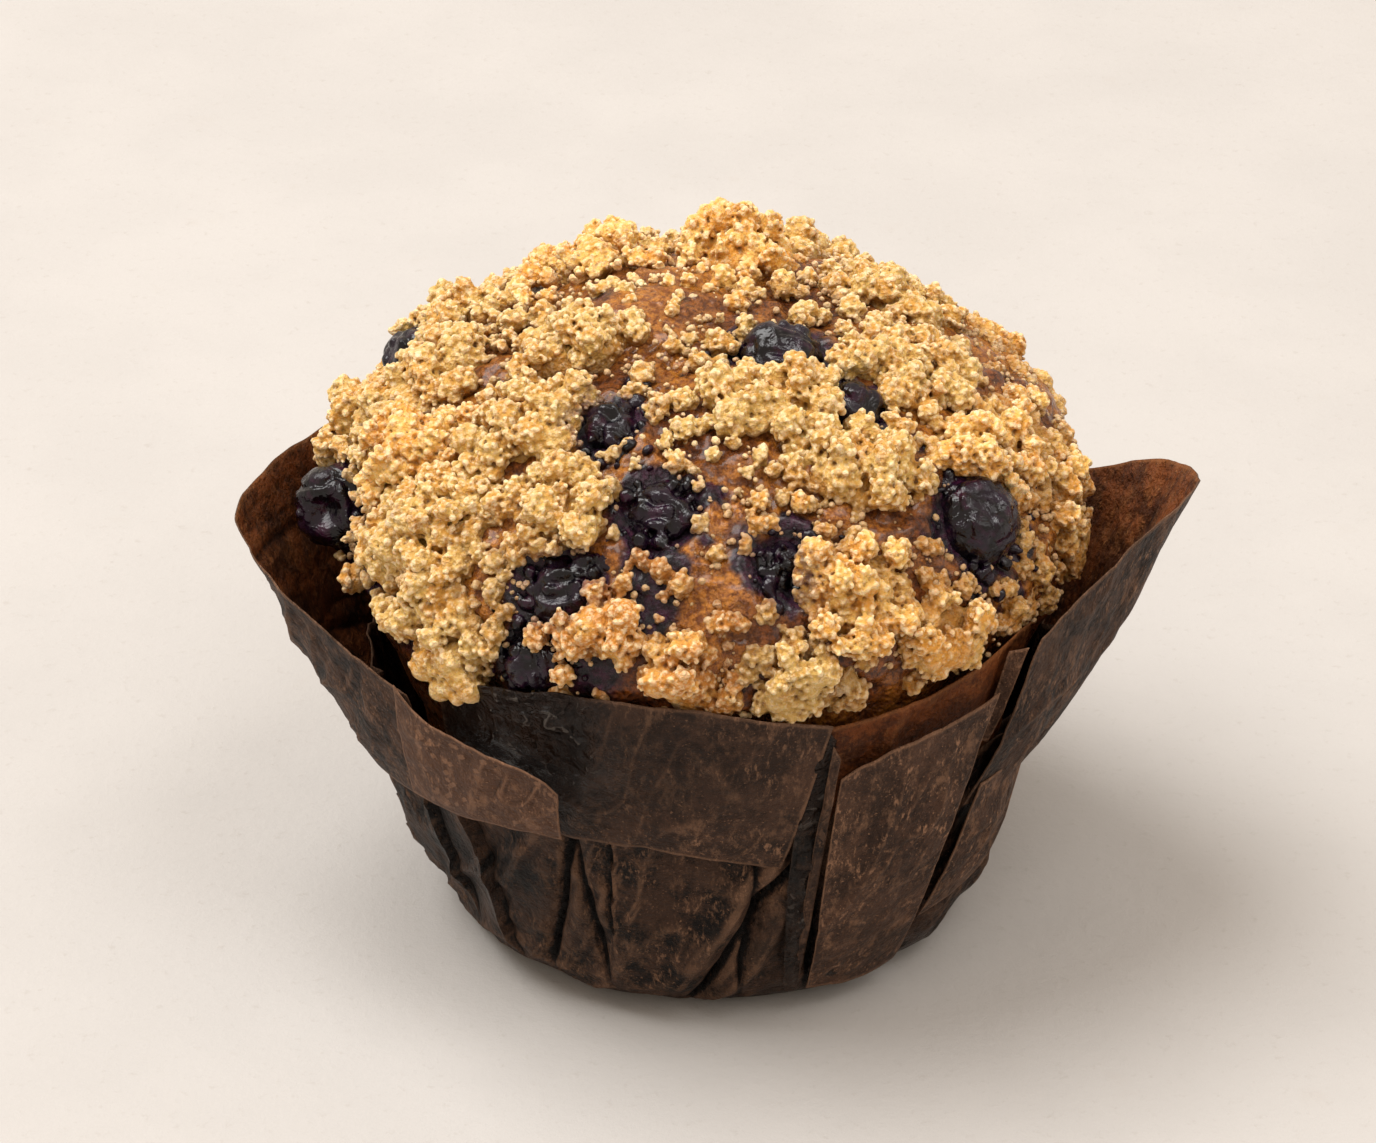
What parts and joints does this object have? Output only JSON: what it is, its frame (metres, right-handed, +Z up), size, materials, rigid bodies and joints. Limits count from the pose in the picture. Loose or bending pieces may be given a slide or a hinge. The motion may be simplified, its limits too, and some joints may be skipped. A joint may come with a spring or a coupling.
{
  "type": "blueberry crumb muffin in a paper liner",
  "caption": "Domed blueberry muffin with a rough crumb topping, standing in a dark brown pleated tulip paper liner whose petals fan out round it.",
  "frame": {"origin": "middle of the liner's flat foot, on the surface it stands on", "axes": "+Z up through the muffin, -Y towards its front flap, +X towards its right petal"},
  "size_m": [0.0969, 0.0827, 0.0716],
  "materials": {
    "greaseproof_paper": "dark brown greaseproof paper, creased, with grease-soaked shiny areas",
    "baked_crumb": "browned cake crust, moist and slightly shiny",
    "blueberry": "burst baked blueberry, near black and glossy",
    "streusel": "golden butter crumb, matt and granular"
  },
  "bodies": {
    "root": {"blueberry_01": "blueberry", "blueberry_02": "blueberry", "blueberry_03": "blueberry", "blueberry_04": "blueberry", "blueberry_05": "blueberry", "blueberry_06": "blueberry", "blueberry_07": "blueberry", "blueberry_08": "blueberry", "blueberry_09": "blueberry", "blueberry_10": "blueberry", "blueberry_11": "blueberry", "blueberry_12": "blueberry", "blueberry_13": "blueberry", "muffin_cake": "baked_crumb", "paper_liner": "greaseproof_paper", "streusel_01": "streusel", "streusel_02": "streusel", "streusel_03": "streusel", "streusel_04": "streusel", "streusel_05": "streusel", "streusel_06": "streusel", "streusel_07": "streusel", "streusel_08": "streusel", "streusel_09": "streusel", "streusel_10": "streusel", "streusel_11": "streusel", "streusel_12": "streusel", "streusel_13": "streusel", "streusel_14": "streusel", "streusel_15": "streusel", "streusel_16": "streusel", "streusel_17": "streusel", "streusel_18": "streusel", "streusel_19": "streusel", "streusel_20": "streusel", "streusel_21": "streusel", "streusel_22": "streusel", "streusel_23": "streusel", "streusel_24": "streusel", "streusel_25": "streusel", "streusel_26": "streusel", "streusel_27": "streusel", "streusel_28": "streusel", "streusel_29": "streusel", "streusel_30": "streusel"}
  },
  "joints": []
}
